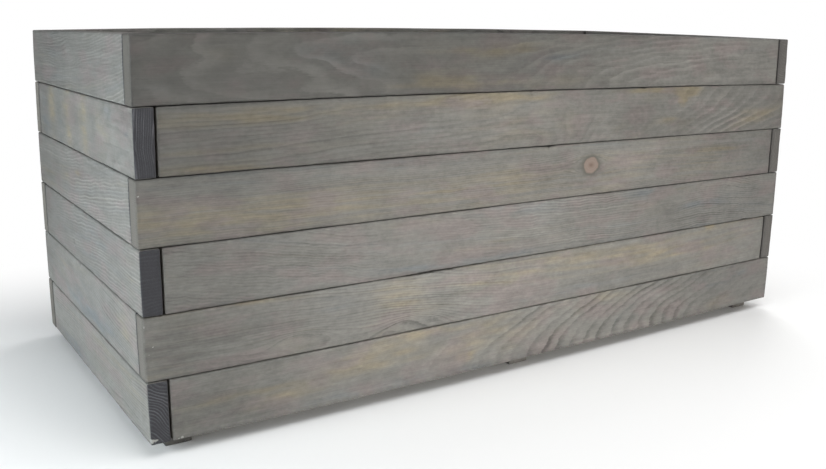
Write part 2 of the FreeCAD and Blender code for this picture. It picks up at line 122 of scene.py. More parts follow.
GRAIN = {
    "front_board_6": dict(
        pith=[(0, 38, 150), (60, 38, 147), (240, 44, 137), (400, 12, 128), (650, -12, 98), (1000, -16, 80)],
        sway=0.6,
        ring=4.0, figure=[(0, -0.3), (70, -1.2), (230, -1.5), (320, -0.5), (450, -0.4), (560, -0.8),
                          (740, -0.6), (1000, -0.3)],
        tone=[(90, 0.39), (225, 0.38), (375, 0.455), (525, 0.55), (675, 0.64), (860, 0.76)],
        warmth=-0.15,
        patches=[(430, 50, 110, 8, 1.7, 0.02), (340, 14, 60, 10, 1.8, 0.05), (480, 10, 120, 8, 0.8, 0.06),
                 (250, 34, 40, 26, -0.2, 0.07), (520, 44, 60, 14, -0.9, -0.06), (820, 34, 200, 40, 0.1, 0.12),
                 (40, 30, 80, 60, 0.0, -0.05)],
    ),
    "front_board_5": dict(
        pith=[(0, -70, 30), (220, -60, 34), (420, -30, 60), (620, 50, 96), (800, 76, 118), (1000, 80, 146)],
        sway=0.45,
        ring=4.6, figure=[(0, 0.4), (180, 0.3), (300, 0.27), (480, 0.22), (620, 0.1), (740, -0.4),
                          (860, -1.0), (1000, -0.7)],
        tone=[(90, 0.48), (225, 0.59), (375, 0.79), (525, 0.79), (675, 0.74), (860, 0.67)],
        warmth=0.05,
        patches=[(110, 50, 110, 5, 1.2, 0.02), (100, 22, 120, 4, 0.9, 0.0), (60, 4, 70, 4, 1.4, 0.02),
                 (160, 58, 260, 6, 1.0, 0.02), (420, 62, 90, 7, 1.4, 0.02), (300, 24, 60, 12, -0.9, -0.02),
                 (350, 34, 150, 30, 0.2, 0.10), (605, 18, 22, 18, -0.1, 0.10), (480, 36, 90, 40, 0.2, 0.07),
                 (770, 62, 22, 6, 3.2, 0.02), (760, 50, 9, 9, 2.6, 0.0), (700, 64, 60, 3, 2.0, 0.0),
                 (740, 22, 30, 6, 1.0, 0.0), (940, 22, 60, 14, 0.7, 0.03), (900, 40, 120, 40, 0.0, 0.05)],
        nicks=[(486, 66, 3, 4, 0.8), (390, 68, 14, 2, 0.5), (681, 68, 5, 2.5, 1.0)],
    ),
    "front_board_4": dict(
        pith=[(0, -170, 10), (400, -172, 10), (600, -168, 10), (1000, -176, 16)],
        ring=2.3, figure=[(0, 0.18), (330, 0.3), (600, 0.3), (1000, 0.15)],
        tone=[(90, 0.65), (225, 0.78), (375, 0.85), (525, 0.89), (675, 0.9), (860, 0.82)],
        warmth=0.35,
        patches=[(60, 22, 110, 18, 0.9, 0.0), (260, 20, 160, 16, 0.8, 0.02), (120, 60, 160, 14, -0.8, -0.05),
                 (330, 62, 90, 8, -0.9, -0.04), (430, 28, 90, 22, 0.4, 0.07), (650, 34, 60, 30, 0.3, 0.08),
                 (900, 56, 60, 6, -0.5, 0.08), (850, 46, 60, 6, 1.0, -0.04), (860, 26, 60, 9, 0.3, 0.06),
                 (950, 30, 60, 40, -0.3, -0.04), (620, 64, 60, 6, -1.0, -0.02)],
        knots=[(590, 39, 11.2, "sound")],
        nicks=[(517, 68, 10, 3, 1.2), (270, 68, 60, 1.0, 0.3)],
        chips=[(3, 52, 1.6)],
    ),
    "front_board_3": dict(
        pith=[(0, -118, 24), (300, -160, 24), (560, -176, 26), (700, -176, 26), (830, -166, 26),
              (1000, -186, 26)],
        ring=3.2, figure=[(0, 0.3), (250, 0.3), (400, -0.5), (560, -0.8), (680, -0.6), (800, 0.7),
                          (1000, 0.3)],
        tone=[(90, 0.71), (225, 0.92), (375, 0.9), (525, 0.89), (675, 0.78), (860, 0.85)],
        warmth=-0.3,
        patches=[(90, 44, 140, 26, 0.4, -0.01), (300, 60, 80, 6, 0.9, 0.0), (430, 62, 120, 6, -0.5, 0.04),
                 (420, 22, 70, 9, 0.8, 0.04), (560, 24, 120, 12, 0.1, 0.08), (390, 6, 110, 5, -1.2, -0.07),
                 (700, 60, 30, 9, -1.0, -0.04), (700, 40, 60, 10, 0.8, 0.0), (820, 36, 60, 5, -1.2, -0.05),
                 (860, 60, 110, 5, 0.7, 0.0), (960, 34, 60, 40, -0.2, -0.03)],
        nicks=[(60, 1, 14, 1.6, 0.6), (925, 0, 6, 3, 1.4), (340, 0, 24, 1.6, 0.7)],
        ripple=0.4,
    ),
    "front_board_2": dict(
        pith=[(0, -132, 26), (160, -140, 28), (300, -150, 30), (600, -168, 30), (1000, -150, 34)],
        ring=3.4, figure=[(0, 0.15), (150, 0.35), (300, 0.8), (380, 0.5), (500, 0.15), (1000, 0.12)],
        tone=[(90, 0.77), (225, 1.05), (375, 1.14), (525, 1.05), (675, 0.98), (860, 0.9)],
        warmth=0.2,
        patches=[(300, 44, 55, 36, 0.7, 0.08), (130, 40, 170, 40, -0.1, -0.10),
                 (350, 56, 30, 20, -0.7, -0.02), (230, 50, 40, 20, -0.9, -0.03),
                 (520, 50, 200, 16, 0.7, 0.05), (500, 10, 200, 9, -0.7, -0.05),
                 (720, 42, 90, 12, 1.1, 0.04), (640, 12, 90, 8, -0.4, 0.0), (850, 36, 100, 30, 0.3, 0.02),
                 (20, 20, 60, 60, 0.1, -0.08), (120, 67, 20, 2, 2.2, 0.0), (842, 67, 8, 3, 3.0, 0.0)],
        knots=[(176, 6, 16, "hidden"), (322, -6, 22, "hidden")],
        nicks=[(330, 68, 36, 1.4, 0.7), (372, 68, 4, 2, 0.8)],
        chips=[(1.5, 59, 2.0), (9, 37, 1.8), (5, 30, 1.4)],
    ),
    "front_board_1": dict(
        pith=[(0, -4, 235), (300, -4, 214), (510, -4, 190), (640, -3, 173), (820, -1, 152), (1000, 0, 134)],
        sway=0.35,
        ring=3.2, figure=[(0, 0.05), (300, 0.1), (440, 0.35), (510, 0.95), (700, 1.05), (800, 0.75),
                          (870, 0.25), (1000, 0.15)],
        tone=[(90, 0.72), (225, 0.94), (375, 0.98), (525, 1.03), (675, 1.03), (860, 0.83)],
        warmth=0.0,
        patches=[(150, 20, 60, 8, 1.5, 0.03), (110, 34, 90, 6, 0.9, 0.0), (210, 12, 80, 12, -1.0, -0.05),
                 (270, 44, 110, 18, 0.9, 0.05), (330, 62, 60, 6, 1.0, 0.05), (395, 20, 14, 6, 2.0, 0.0),
                 (440, 40, 80, 24, 0.7, 0.06), (360, 6, 60, 6, -1.0, -0.12), (500, 4, 90, 5, -0.6, -0.16),
                 (620, 60, 90, 10, 0.5, 0.04), (940, 50, 30, 8, -0.8, 0.0),
                 (900, 16, 60, 12, 0.7, 0.0), (860, 44, 60, 20, -0.4, -0.02)],
        knots=[(395, 12, 9, "hidden")],
        nicks=[(230, 68, 50, 1.2, 0.4)],
        chips=[(34, 2.5, 2.6), (30, 1.5, 1.8)],
    ),
    "left_board_6": dict(
        pith=[(0, -96, 30), (90, -110, 30), (250, -124, 34), (450, -128, 34)],
        ring=3.6, figure=[(0, -1.5), (120, -1.0), (250, 0.4), (450, 0.3)],
        tone=[(75, 0.85), (170, 0.78), (275, 0.82), (380, 0.83)],
        warmth=-0.1,
        patches=[(320, 30, 40, 60, -0.5, -0.05), (240, 30, 25, 60, 0.2, 0.05), (400, 30, 70, 60, 0.2, -0.06)],
    ),
    "left_board_5": dict(
        pith=[(0, 36, 318), (150, 34, 313), (300, 36, 308), (450, 38, 304)],
        end_rings=1.0,
        ring=2.1, figure=[(0, 0.4), (120, 0.12), (300, 0.12), (450, 0.12)],
        tone=[(75, 1.01), (170, 0.96), (275, 0.91), (380, 0.83)],
        warmth=0.1,
        patches=[(150, 34, 12, 60, -0.9, -0.05), (185, 34, 12, 60, 1.0, 0.05), (225, 34, 13, 60, -0.8, -0.05),
                 (262, 34, 14, 60, 1.1, 0.05), (305, 34, 16, 60, -0.9, -0.06), (350, 34, 18, 60, 1.2, 0.04),
                 (395, 34, 18, 60, -0.8, -0.05),
                 (24, 44, 14, 16, -0.8, -0.08), (110, 34, 30, 18, 0.8, 0.02), (90, 56, 18, 8, -1.0, 0.0),
                 (215, 42, 20, 20, 0.8, 0.02), (290, 44, 20, 20, 0.8, 0.0), (380, 16, 60, 10, -1.0, -0.07),
                 (420, 10, 20, 10, 0.6, -0.09)],
    ),
    "left_board_4": dict(
        pith=[(0, -70, 24), (110, -84, 24), (250, -104, 26), (450, -112, 26)],
        ring=3.7, figure=[(0, -1.3), (200, -1.2), (330, -0.8), (450, -0.5)],
        tone=[(75, 0.91), (170, 0.85), (275, 0.83), (380, 0.79)],
        warmth=-0.15,
        patches=[(226, 42, 16, 4, 2.0, -0.08), (190, 12, 60, 3, 0.0, 0.12), (410, 14, 50, 18, 0.5, -0.10),
                 (290, 34, 40, 12, 0.8, 0.02)],
        ripple=0.35,
    ),
    "left_board_3": dict(
        pith=[(0, -96, 20), (150, -98, 22), (280, -108, 24), (450, -128, 24)],
        ring=3.6, figure=[(0, -1.3), (230, -1.4), (330, -1.0), (450, -0.5)], end_rings=0.15,
        tone=[(75, 0.88), (170, 0.8), (275, 0.79), (380, 0.78)],
        warmth=-0.45,
        patches=[(430, 40, 50, 40, 0.4, -0.09), (30, 30, 30, 50, 0.7, 0.03)],
        nicks=[(271, 22, 4, 3.5, 1.5)], chips=[(273, 15, 2.2)],
        ripple=0.35,
    ),
    "left_board_2": dict(
        pith=[(0, 110, 36), (150, 120, 40), (300, 150, 44), (450, 170, 30)],
        ring=3.6, figure=[(0, 0.4), (150, 0.6), (300, -0.3), (450, 0.1)],
        tone=[(75, 1.08), (170, 1.07), (275, 1.04), (380, 1.05)],
        warmth=-0.2,
        patches=[(340, 40, 20, 30, 0.4, 0.08), (250, 56, 40, 8, 0.9, 0.0), (200, 14, 120, 9, -1.2, -0.07),
                 (60, 40, 40, 30, 0.8, 0.02), (420, 40, 60, 40, 0.2, -0.09)],
        nicks=[(252, 67, 5, 4, 1.6), (440, 66, 6, 4, 1.4)],
    ),
    "left_board_1": dict(
        pith=[(0, -30, -40), (200, -38, -38), (450, -46, -34)],
        end_rings=1.0,
        ring=3.1, figure=[(0, 0.6), (200, 0.4), (450, 0.3)],
        tone=[(75, 1.03), (170, 1.07), (275, 1.09), (380, 1.15)],
        warmth=0.0,
        patches=[(300, 10, 90, 10, -1.0, -0.07), (150, 44, 120, 16, 0.6, 0.0), (420, 10, 60, 10, 0.2, -0.1)],
        chips=[(1.5, 5.0, 4.2)],
    ),
}


def plain_grain(seed):
    """Grain of a board that has nothing special about it: flat-sawn or rift-sawn, drawn from its seed."""
    draw = random.Random(seed)
    flat = draw.random() < 0.55
    lean = draw.choice((-1, 1)) * draw.uniform(0.05, 0.13)
    height = draw.uniform(10, 58) if flat else draw.choice((-1, 1.7)) * draw.uniform(90, 150)
    depth = draw.uniform(90, 150) if flat else draw.uniform(10, 40)
    sway = draw.uniform(-14, 14)
    pith = [(0, height, depth + 500 * lean), (350, height + sway, depth + 150 * lean),
            (700, height - sway, depth - 200 * lean), (1000, height, depth - 500 * lean)]
    sign = draw.choice((-1, 1))
    figure = [(place, sign * draw.uniform(0.2, 0.9)) for place in (0, 300, 650, 1000)]
    patches = [(draw.uniform(0, 1000), draw.uniform(0, 68), draw.uniform(30, 140), draw.uniform(5, 26),
                draw.uniform(-1.2, 1.3), draw.uniform(-0.07, 0.08)) for _ in range(9)]
    knots = [(draw.uniform(80, 900), draw.uniform(14, 54), draw.uniform(5, 12), "sound")
             for _ in range(draw.choice((0, 0, 1, 1, 2)))]
    return dict(pith=pith, ring=draw.uniform(2.6, 4.6), figure=figure, tone=[(0, draw.uniform(0.85, 1.1))],
                warmth=draw.uniform(-0.3, 0.3), patches=patches, knots=knots)


# ---- board meshes ------------------------------------------------------------------------------------

EASING = 3.0  # widest rounding of an edge
USUAL_RADIUS, LEAST_RADIUS = 1.8, 1.1  # of a rounded edge
ARC_STEPS = 3  # from the flat to the middle of a rounded edge
COARSE, FINE = 8.0, 1.6  # mesh steps along a board, and along it at a feature
ACROSS, THROUGH = 1.9, 3.4  # mesh steps up a board's face and through its thickness
LAP = 24.0  # how far a board runs past the end of the one that it laps
INSET = 0.3  # how far the outer face lies inside the CAD board, so that nothing on it stands proud of it
WEAR = 0.4  # how much the radius of a rounded edge varies
CUP, FACE_WAVES = 0.22, 0.10  # how hollow an outer face is, and how high its long waves are
EDGE_SAG, EDGE_WAVES = 0.10, 0.09  # how far a long edge draws in, and how high its long waves are
KNOT_RISE = 0.125  # how far the wood stands proud in a knot

SEAM_SHADE_REACH, SEAM_SHADE_DARKNESS = 1.8, 0.45  # painted shade in the joint at ends that meet the right wall: its depth and darkness
CORNER_SHADE = 0.75  # how dark the painted shade in the lapped corners is
USUAL_END_RINGS = 0.8  # how strongly the rings show on a sawn end
DARK_ENDS = {"left": 1.0, "right": 0.5}  # how far a side's sawn ends are turned from pale to dark


def grid_lines(length, step, fine_zones=()):
    """Places of the mesh lines along one side of a board: close together in the rounded edges."""
    arc = [EASING * (1 - math.tan(math.pi / 4 * (1 - n / ARC_STEPS))) for n in range(ARC_STEPS)]
    places = []
    at = EASING
    while at < length - EASING - 0.2 * step:
        places.append(at)
        at += FINE if any(low <= at <= high for low, high in fine_zones) else step
    return np.array(arc + places + [length - EASING] + [length - a for a in reversed(arc)])


def box_surface(lines):
    """Corner indices of the grid points on a box's surface, and the quads between them, facing outwards."""
    counts = [len(line) for line in lines]
    i, j, k = np.meshgrid(*(np.arange(n) for n in counts), indexing="ij")
    on_surface = np.zeros(counts, bool)
    for index, n in zip((i, j, k), counts):
        on_surface |= (index == 0) | (index == n - 1)
    number = np.full(counts, -1)
    number[on_surface] = np.arange(on_surface.sum())
    points = np.stack([lines[axis][index[on_surface]] for axis, index in enumerate((i, j, k))], 1)
    quads = []
    for axis in range(3):
        for end in (0, -1):
            sheet = np.take(number, end, axis=axis)
            ring = [sheet[:-1, :-1], sheet[1:, :-1], sheet[1:, 1:], sheet[:-1, 1:]]
            outwards = (end == -1) == (axis != 1)
            quad = np.stack(ring if outwards else ring[::-1], -1).reshape(-1, 4)
            quads.append(quad)
    return points, np.concatenate(quads)


def rounded(points, size, radius):
    """Points on a box's surface moved onto the same box with its edges rounded to a radius per point."""
    in_rounding = np.minimum(points, size - points) / EASING
    shrunk = np.clip(in_rounding, None, 1) * radius[:, None]
    near_low = points < size / 2
    inset = np.where(in_rounding < 1, shrunk, np.minimum(points, size - points))
    placed = np.where(near_low, inset, size - inset)
    core = np.clip(placed, radius[:, None], size - radius[:, None])
    out = placed - core
    reach = np.maximum(np.linalg.norm(out, axis=1), 1e-9)
    return core + out * (radius / reach)[:, None]


def ring_count(points, grain, seed):
    """How many yearly rings lie between each point and the heart of the tree."""
    along, depth, height = points.T
    places, heights, depths = zip(*grain["pith"])
    up = height - curve(list(zip(places, heights)), along)
    behind = depth - curve(list(zip(places, depths)), along)
    for place, level, radius, kind in grain.get("knots", ()):
        # The rings part round a knot as a stream parts round a post.
        away = ((along - place) / 2.2) ** 2 + (height - level) ** 2
        up = up - (height - level) * np.minimum(radius**2 / np.maximum(away, 1e-6), 1.0) * 0.9
    distance = np.hypot(up, behind)
    sway = 0.5 * wander(points, (160, 40, 40), seed) + 0.16 * wander(points, (42, 22, 22), seed + 1)
    sway *= grain.get("sway", 1.0)
    ripple = grain.get("ripple", 0.0) * 0.28 * wander(points, (15, 60, 60), seed + 2)
    return distance / grain["ring"] + sway + ripple


def knot_field(points, grain):
    """Distance from the nearest knot's middle in knot radii, and 3 where there is no knot near."""
    nearest = np.full(len(points), 3.0)
    for place, level, radius, kind in grain.get("knots", ()):
        if kind != "hidden":
            across = np.hypot((points[:, 0] - place) / 1.25, points[:, 2] - level) / radius
            nearest = np.minimum(nearest, across)
    return nearest


def fine_zones(grain, start):
    """The stretches of a board, measured from its own end, where its mesh is finer."""
    features = [(place, 2.4 * radius + 6) for place, level, radius, kind in grain.get("knots", ())]
    features += [(place, 1.6 * length + 3) for place, level, length, reach, deep in grain.get("nicks", ())]
    features += [(place, 3 * radius) for place, level, radius in grain.get("chips", ())]
    return [(place - reach - start, place + reach - start) for place, reach in features]


def worn_shape(flat, described, size, grain, seed):
    """The points of a plain board moved onto one with worn edges, a cupped face and dents."""
    worn = wander(described, (120, 60, 60), seed + 5) + 0.6 * wander(described, (24, 20, 20), seed + 6)
    shaped = rounded(flat, size, np.clip(USUAL_RADIUS + WEAR * worn, LEAST_RADIUS, EASING))

    # The outer face is slightly cupped and the edges wander; the inner face stays flat against the posts.
    outer = 1 - shaped[:, 1] / size[1]
    across = shaped[:, 2] / size[2] - 0.5
    cup = CUP * (across**2 * 4 - 0.4) + FACE_WAVES * wander(described, (300, 200, 120), seed + 7)
    shaped[:, 1] += outer * (INSET + cup)
    edge_sway = EDGE_SAG + EDGE_WAVES * wander(described, (170, 200, 200), seed + 8)
    near_edge = (2 * np.abs(across)) ** 4
    shaped[:, 2] -= np.sign(across) * near_edge * np.clip(edge_sway, 0, None)
    for place, level, length, reach, deep in grain.get("nicks", ()):
        dent = deep * blob(described, (place, 0, level), (length, 9, reach))
        dent *= 1 + 0.5 * wander(described, (5, 9, 9), seed + 9)
        shaped[:, 1] += outer * dent
        shaped[:, 2] -= np.sign(across) * dent * (np.abs(across) > 0.4) * 0.8
    shaped[:, 1] -= outer * KNOT_RISE * np.clip(2.2 - 2 * knot_field(described, grain), 0, 1)
    return shaped


def stain(flat, described, size, side, grain, seed):
    """The tone and the warmth of the stain at each point of a board, the tone with painted light and shade in
    it.
    """
    # The tone curves hold painted light and shade besides the stain's own lightness.
    tone = curve(grain["tone"], described[:, 0])
    warmth = np.full(len(described), float(grain["warmth"]))
    # Painted shade in the joint where the front and back boards meet the right wall.
    if side in ("front", "back"):
        tone = tone * (1 - SEAM_SHADE_DARKNESS * np.exp(-(((size[0] - flat[:, 0]) / SEAM_SHADE_REACH) ** 2)))
    # Painted shade in the lapped corners, where the inner face meets the end of another board.
    in_corner = np.minimum(described[:, 0], side_length(side) - described[:, 0]) < LAP
    tone = tone * (1 - CORNER_SHADE * in_corner * (flat[:, 1] / size[1]) ** 8)
    for place, level, length, reach, warm, light in grain.get("patches", ()):
        spot = blob(described, (place, 0, level), (length, 30, reach))
        spot *= 1 + 0.35 * wander(described, (60, 12, 9), seed + 10)
        tone += light * spot
        warmth += warm * spot
    return tone, warmth


def grain_fields(flat, described, size, side, grain, seed):
    """The numbers at each mesh point that the boards' material reads."""
    tone, warmth = stain(flat, described, size, side, grain, seed)
    chips = np.zeros(len(described))
    for place, level, reach in grain.get("chips", ()):
        chips = np.maximum(chips, blob(described, (place, 0, level), (reach, 14, reach)))
    edge_distance = np.sort(np.minimum(flat, size - flat), axis=1)[:, 1]
    return {
        "ring": ring_count(described, grain, seed),
        "figure": curve(grain["figure"], described[:, 0]),
        "tone": tone,
        "warmth": warmth,
        "knot": knot_field(described, grain),
        "chip": chips,
        "edge": np.clip(1 - edge_distance / (1.4 * EASING), 0, 1),
    }


def side_axes(side):
    """The axis along a side of the box and the axis through its boards."""
    return (X, Y) if side in ("front", "back") else (Y, X)


def side_length(side):
    along, _ = side_axes(side)
    return (cad_bounds[1][along] - cad_bounds[0][along]) / MM


def board_object(name, seed):
    """A refined board in place of the CAD one, with its grain as attributes of its mesh."""
    side = name.split("_")[0]
    along, through = side_axes(side)
    low, high = (np.array(corner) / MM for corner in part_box(name))
    grain = GRAIN.get(name) or plain_grain(seed)
    start = low[along] - cad_bounds[0][along] / MM  # from the end of the box to the end of the board
    size = (high - low)[[along, through, Z]]
    lines = [grid_lines(size[0], COARSE, fine_zones(grain, start)), grid_lines(size[1], THROUGH),
             grid_lines(size[2], ACROSS)]
    flat, quads = box_surface(lines)
    described = flat + np.array([start, 0, 0])  # the places that the descriptions use
    shaped = worn_shape(flat, described, size, grain, seed)

    placed = np.zeros_like(shaped)
    placed[:, along] = low[along] + shaped[:, 0]
    outside_is_low = side in ("front", "left")
    placed[:, through] = low[through] + shaped[:, 1] if outside_is_low else high[through] - shaped[:, 1]
    placed[:, Z] = low[Z] + shaped[:, 2]
    mirrored = (along == Y) == outside_is_low
    if mirrored:
        quads = quads[:, ::-1]

    mesh = bpy.data.meshes.new(name + "_planed")
    mesh.from_pydata((placed * MM).tolist(), [], quads.tolist())
    mesh.shade_smooth()
    for label, values in grain_fields(flat, described, size, side, grain, seed).items():
        attribute = mesh.attributes.new(label, "FLOAT", "POINT")
        attribute.data.foreach_set("value", values.astype(np.float32))

    board = bpy.data.objects.new(name.replace("_board_", "_wall_board_"), mesh)
    bpy.context.scene.collection.objects.link(board)
    set_grain_axes(board, along, through, seed)
    board["dark_ends"] = DARK_ENDS.get(side, 0.0)
    board["end_rings"] = grain.get("end_rings", USUAL_END_RINGS)
    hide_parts(name)
    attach(board, "root")
    return board


def set_grain_axes(piece, axis_along, axis_depth, seed):
    """Properties that the wood materials read: where the grain runs, and a place of its own in the noise."""
    axes = np.eye(3)
    piece["grain_along"] = axes[axis_along].tolist()
    piece["grain_depth"] = axes[axis_depth].tolist()
    piece["grain_height"] = axes[X + Y + Z - axis_along - axis_depth].tolist()
    piece["grain_seed"] = float(seed)


# ---- node helpers --------------------------------------------------------------------------------------


class Tree:
    """Short ways to add nodes to a node tree. add returns the node, and the others return an output."""

    def __init__(self, tree):
        self.tree = tree

    def add(self, kind, **settings):
        node = self.tree.nodes.new(kind)
        for name, value in settings.items():
            setattr(node, name, value)
        return node

    def feed(self, socket, value):
        if isinstance(value, bpy.types.NodeSocket):
            self.tree.links.new(value, socket)
        elif value is not None:
            socket.default_value = value

    def math(self, operation, *values):
        node = self.add("ShaderNodeMath", operation=operation)
        for socket, value in zip(node.inputs, values):
            self.feed(socket, value)
        return node.outputs[0]

    def vector(self, operation, *values, scale=None):
        node = self.add("ShaderNodeVectorMath", operation=operation)
        for socket, value in zip(node.inputs, values):
            self.feed(socket, value)
        if scale is not None:
            self.feed(node.inputs["Scale"], scale)
        return node.outputs["Value" if operation in ("DOT_PRODUCT", "LENGTH") else "Vector"]

    def combine(self, x, y, z):
        node = self.add("ShaderNodeCombineXYZ")
        for socket, value in zip(node.inputs, (x, y, z)):
            self.feed(socket, value)
        return node.outputs[0]

    def noise(self, place, repeats, detail=3.0, roughness=0.5):
        """Noise from 0 to 1, with its own number of repeats per metre along each axis."""
        node = self.add("ShaderNodeTexNoise")
        self.feed(node.inputs["Vector"], self.vector("MULTIPLY", place, repeats))
        for name, value in (("Scale", 1.0), ("Detail", detail), ("Roughness", roughness)):
            node.inputs[name].default_value = value
        return node.outputs["Fac"]

    def line_noise(self, value, scale):
        """Noise along one number."""
        node = self.add("ShaderNodeTexNoise", noise_dimensions="1D")
        self.feed(node.inputs["W"], value)
        node.inputs["Scale"].default_value = scale
        return node.outputs["Fac"]

    def spread(self, value, low, high, to_low=0.0, to_high=1.0, smooth=True):
        node = self.add("ShaderNodeMapRange", interpolation_type="SMOOTHSTEP" if smooth else "LINEAR")
        for socket, given in zip(node.inputs, (value, low, high, to_low, to_high)):
            self.feed(socket, given)
        return node.outputs[0]

    def mix(self, share, a, b):
        node = self.add("ShaderNodeMix", data_type="RGBA", clamp_factor=True)
        for name, value in (("Factor_Float", share), ("A_Color", a), ("B_Color", b)):
            self.feed(next(s for s in node.inputs if s.identifier == name), value)
        return next(s for s in node.outputs if s.identifier == "Result_Color")

    def blend(self, share, a, b):
        """Two shaders mixed."""
        node = self.add("ShaderNodeMixShader")
        for socket, value in zip(node.inputs, (share, a, b)):
            self.feed(socket, value)
        return node.outputs[0]

    def shade(self, colour, amount):
        """A colour made lighter or darker by a factor."""
        return self.vector("SCALE", colour, scale=amount)

    def attribute(self, name, of_object=False, vector=False):
        node = self.add("ShaderNodeAttribute", attribute_name=name)
        node.attribute_type = "OBJECT" if of_object else "GEOMETRY"
        return node.outputs["Vector" if vector else "Fac"]

    def around(self, value, amount):
        """A noise value moved to lie around 0, with a strength of its own."""
        return self.math("MULTIPLY", self.math("SUBTRACT", value, 0.5), amount)

    def sum(self, *values):
        total = values[0]
        for value in values[1:]:
            total = self.math("ADD", total, value)
        return total

    def product(self, *values):
        total = values[0]
        for value in values[1:]:
            total = self.math("MULTIPLY", total, value)
        return total

    def bump(self, height, depth):
        node = self.add("ShaderNodeBump")
        node.inputs["Distance"].default_value = depth
        self.feed(node.inputs["Height"], height)
        return node.outputs[0]


def paint(red, green, blue):
    """A colour given as it looks on screen, from 0 to 255, as the linear values that materials use."""
    def linear(value):
        value /= 255
        return value / 12.92 if value <= 0.04045 else ((value + 0.055) / 1.055) ** 2.4
    return (linear(red), linear(green), linear(blue), 1.0)


# ---- materials -----------------------------------------------------------------------------------------

BLUE_GREY = paint(113, 117, 119)
GREY = paint(119, 118, 114)
TAN = paint(132, 124, 107)
ROSE = paint(124, 116, 114)
DARK_END = paint(52, 52, 56)
DARK_END_LINES = paint(93, 94, 98)
PALE_END = paint(120, 116, 110)
PALE_END_LINES = paint(127, 123, 116)
SALMON = paint(131, 117, 108)
KNOT_HEART = paint(110, 93, 85)
BARK = paint(92, 90, 84)
BARE_CHIP = paint(142, 142, 138)
YELLOW_ZINC, GREY_ZINC = paint(206, 192, 150), paint(196, 194, 186)
FLOOR_WHITE = paint(246, 246, 246)

# The wood's noises: repeats per metre along, into and up the grain, detail and roughness.
NOISES = {
    "wobble": ((22, 130, 130), 4, 0.5),
    "fuzz": ((130, 620, 620), 3, 0.5),
    "fading": ((7, 24, 24), 2, 0.5),
    "fibre": ((26, 1300, 1300), 3, 0.6),
    "brush": ((5, 260, 260), 3, 0.55),
    "mottle": ((150, 260, 260), 3, 0.6),
    "blotch": ((30, 60, 60), 3, 0.55),
    "cloud": ((10, 34, 34), 3, 0.5),
    "drift": ((3.2, 14, 14), 2, 0.5),
    "rose": ((18, 46, 46), 3, 0.5),
    "pores": ((900, 900, 900), 2, 0.5),
}
ROSE_PLACE = (7.3, 1.9, 4.1)  # moves the rosy noise away from the others
SEED_STEP = 1.37  # metres of noise between one seed and the next

# How strongly each of these moves the wood's lightness, its lean from blue-grey to tan, and its relief.
LIGHTNESS = {"brush": 0.48, "mottle": 0.50, "blotch": 0.50, "fibre": 0.46, "drift": 0.38}
LEAN = {"warmth": 0.85, "cloud": 1.3, "band": 1.2}
HEIGHT = {"fibre": 0.5, "brush": 0.4, "line": 0.55, "pores": 1.2}
RELIEF = 0.00022  # metres that a height of 1 stands for

RING_WOBBLE, RING_FUZZ = 0.36, 0.24  # how far noise moves the rings, in rings
LATE_START, LATE_DARK, LATE_END = 0.30, 0.84, 0.88  # places in a year's growth, from 0 to 1
RING_DARKNESS, FAINTEST_RING = 0.56, 0.35  # of a full ring, and the share of it in the faintest one
BAND_SCALE = 0.42  # stain bands per ring
FULL_LEAN = 1.6  # the lean at which the stain is all tan or all blue-grey
ROSE_SHARE = 0.75
SIDE_ROUGHNESS, END_ROUGHNESS = (0.48, 0.66), 0.82
SHEEN = 0.35

# Knots, in knot radii from the middle.
KNOT_RAGGED = 0.42  # how uneven the outline is
KNOT_RINGS = 26.0  # the rings' phase per radius, in radians
HALO = 0.16  # how much darker the wood round a knot is


def ring_lines(t, ring, noises):
    """How far the rings wobble, and how dark the late wood is at each point, from 0 to 1."""
    wobble = t.around(noises["wobble"], RING_WOBBLE)
    count = t.sum(ring, wobble, t.around(noises["fuzz"], RING_FUZZ))
    phase = t.math("FRACT", count)
    late = t.product(t.spread(phase, LATE_START, LATE_DARK), t.spread(phase, 1.0, LATE_END))
    year = t.add("ShaderNodeTexWhiteNoise", noise_dimensions="1D")
    t.feed(year.inputs["W"], t.math("FLOOR", count))
    of_year = t.spread(year.outputs["Value"], 0, 1, FAINTEST_RING, 1.0, smooth=False)
    fading = t.spread(noises["fading"], 0.32, 0.62, FAINTEST_RING, 1.0)
    return wobble, t.product(late, of_year, fading)


def stain_colour(t, ring, wobble, noises, warmth):
    """Blue-grey, grey, tan and rosy stain, in clouds and along the rings."""
    band = t.line_noise(t.sum(ring, t.product(wobble, 2.0)), BAND_SCALE)
    lean = t.sum(t.product(warmth, LEAN["warmth"]), t.around(noises["cloud"], LEAN["cloud"]),
                 t.around(band, LEAN["band"]))
    cool = t.mix(t.spread(lean, -FULL_LEAN, 0.0), BLUE_GREY, GREY)
    colour = t.mix(t.spread(lean, 0.0, FULL_LEAN), cool, TAN)
    return t.mix(t.product(t.spread(noises["rose"], 0.47, 0.68), ROSE_SHARE), colour, ROSE)


def sawn_end(t, line, tone, pores):
    """The colour of a sawn end, pale, or dark as far as the piece's dark_ends says."""
    darkened = t.attribute("dark_ends", True)
    end_tone = t.math("MULTIPLY_ADD", tone, 0.66, 0.30)  # pale ends vary less than the faces
    wood = t.mix(darkened, t.shade(PALE_END[:3], end_tone), DARK_END)
    rings = t.mix(darkened, t.shade(PALE_END_LINES[:3], end_tone), DARK_END_LINES)
    ringed = t.mix(t.product(line, t.attribute("end_rings", True)), wood, rings)
    return t.shade(ringed, t.spread(pores, 0.3, 0.75, 0.88, 1.08))


